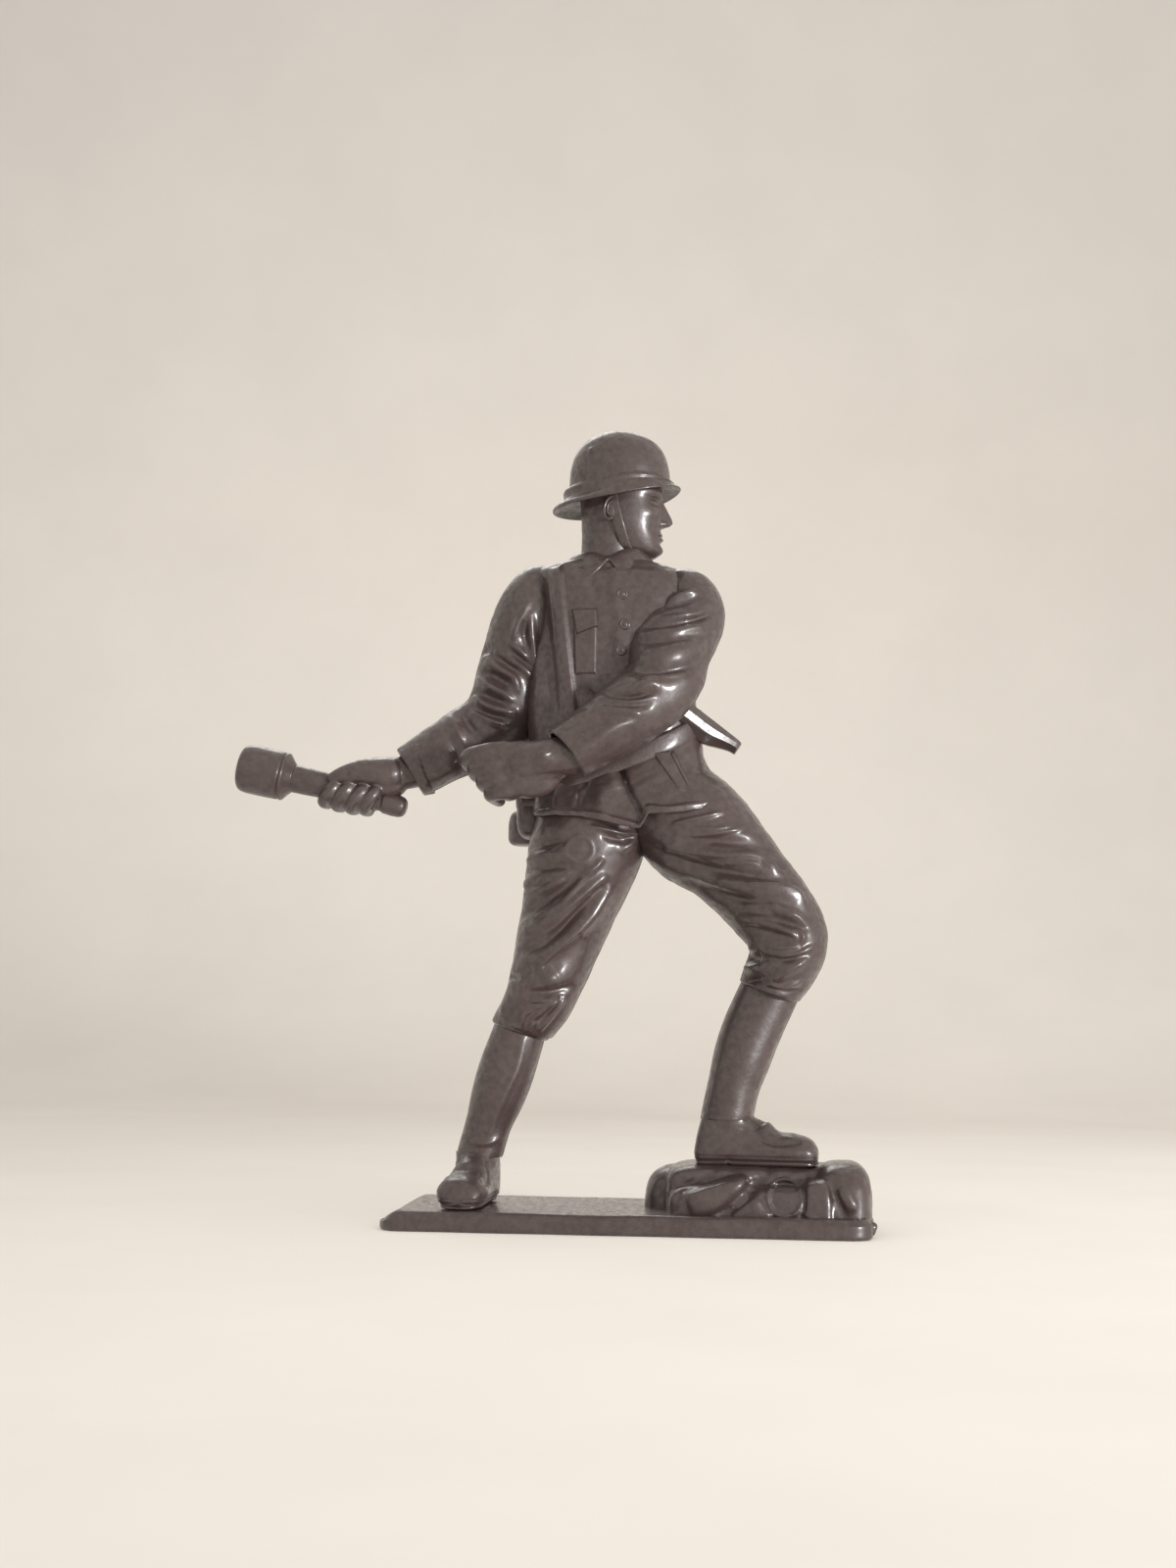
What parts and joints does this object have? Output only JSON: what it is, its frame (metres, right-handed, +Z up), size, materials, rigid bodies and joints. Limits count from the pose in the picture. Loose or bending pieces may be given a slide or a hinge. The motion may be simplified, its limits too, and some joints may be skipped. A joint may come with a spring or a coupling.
{
  "type": "toy soldier figure",
  "caption": "Moulded plastic toy soldier in helmet and tunic, one boot on a rock, drawing a stick grenade back for a throw, on a flat rectangular base.",
  "frame": {"origin": "centre of the base plate's underside", "axes": "+Z up from the base to the helmet, +X towards the soldier's left along the base's length, the soldier's chest faces -Y"},
  "size_m": [0.0499, 0.016, 0.0619],
  "materials": {
    "grey_plastic": "dark grey moulded polyethylene, semi-gloss with soft highlights"
  },
  "bodies": {
    "root": {"base_plate": "grey_plastic", "rock": "grey_plastic", "right_boot": "grey_plastic", "right_boot_shaft": "grey_plastic", "right_breeches_leg": "grey_plastic", "left_boot": "grey_plastic", "left_boot_shaft": "grey_plastic", "left_breeches_leg": "grey_plastic", "tunic_skirt": "grey_plastic", "tunic_body": "grey_plastic", "waist_belt": "grey_plastic", "shoulder_strap": "grey_plastic", "collar": "grey_plastic", "breast_pocket": "grey_plastic", "skirt_pocket": "grey_plastic", "tunic_buttons": "grey_plastic", "head": "grey_plastic", "chin_strap": "grey_plastic", "helmet": "grey_plastic", "right_sleeve": "grey_plastic", "right_hand": "grey_plastic", "grenade_head": "grey_plastic", "grenade_stick": "grey_plastic", "left_sleeve": "grey_plastic", "left_hand": "grey_plastic", "bayonet_scabbard": "grey_plastic", "bread_bag": "grey_plastic", "water_bottle": "grey_plastic"}
  },
  "joints": []
}
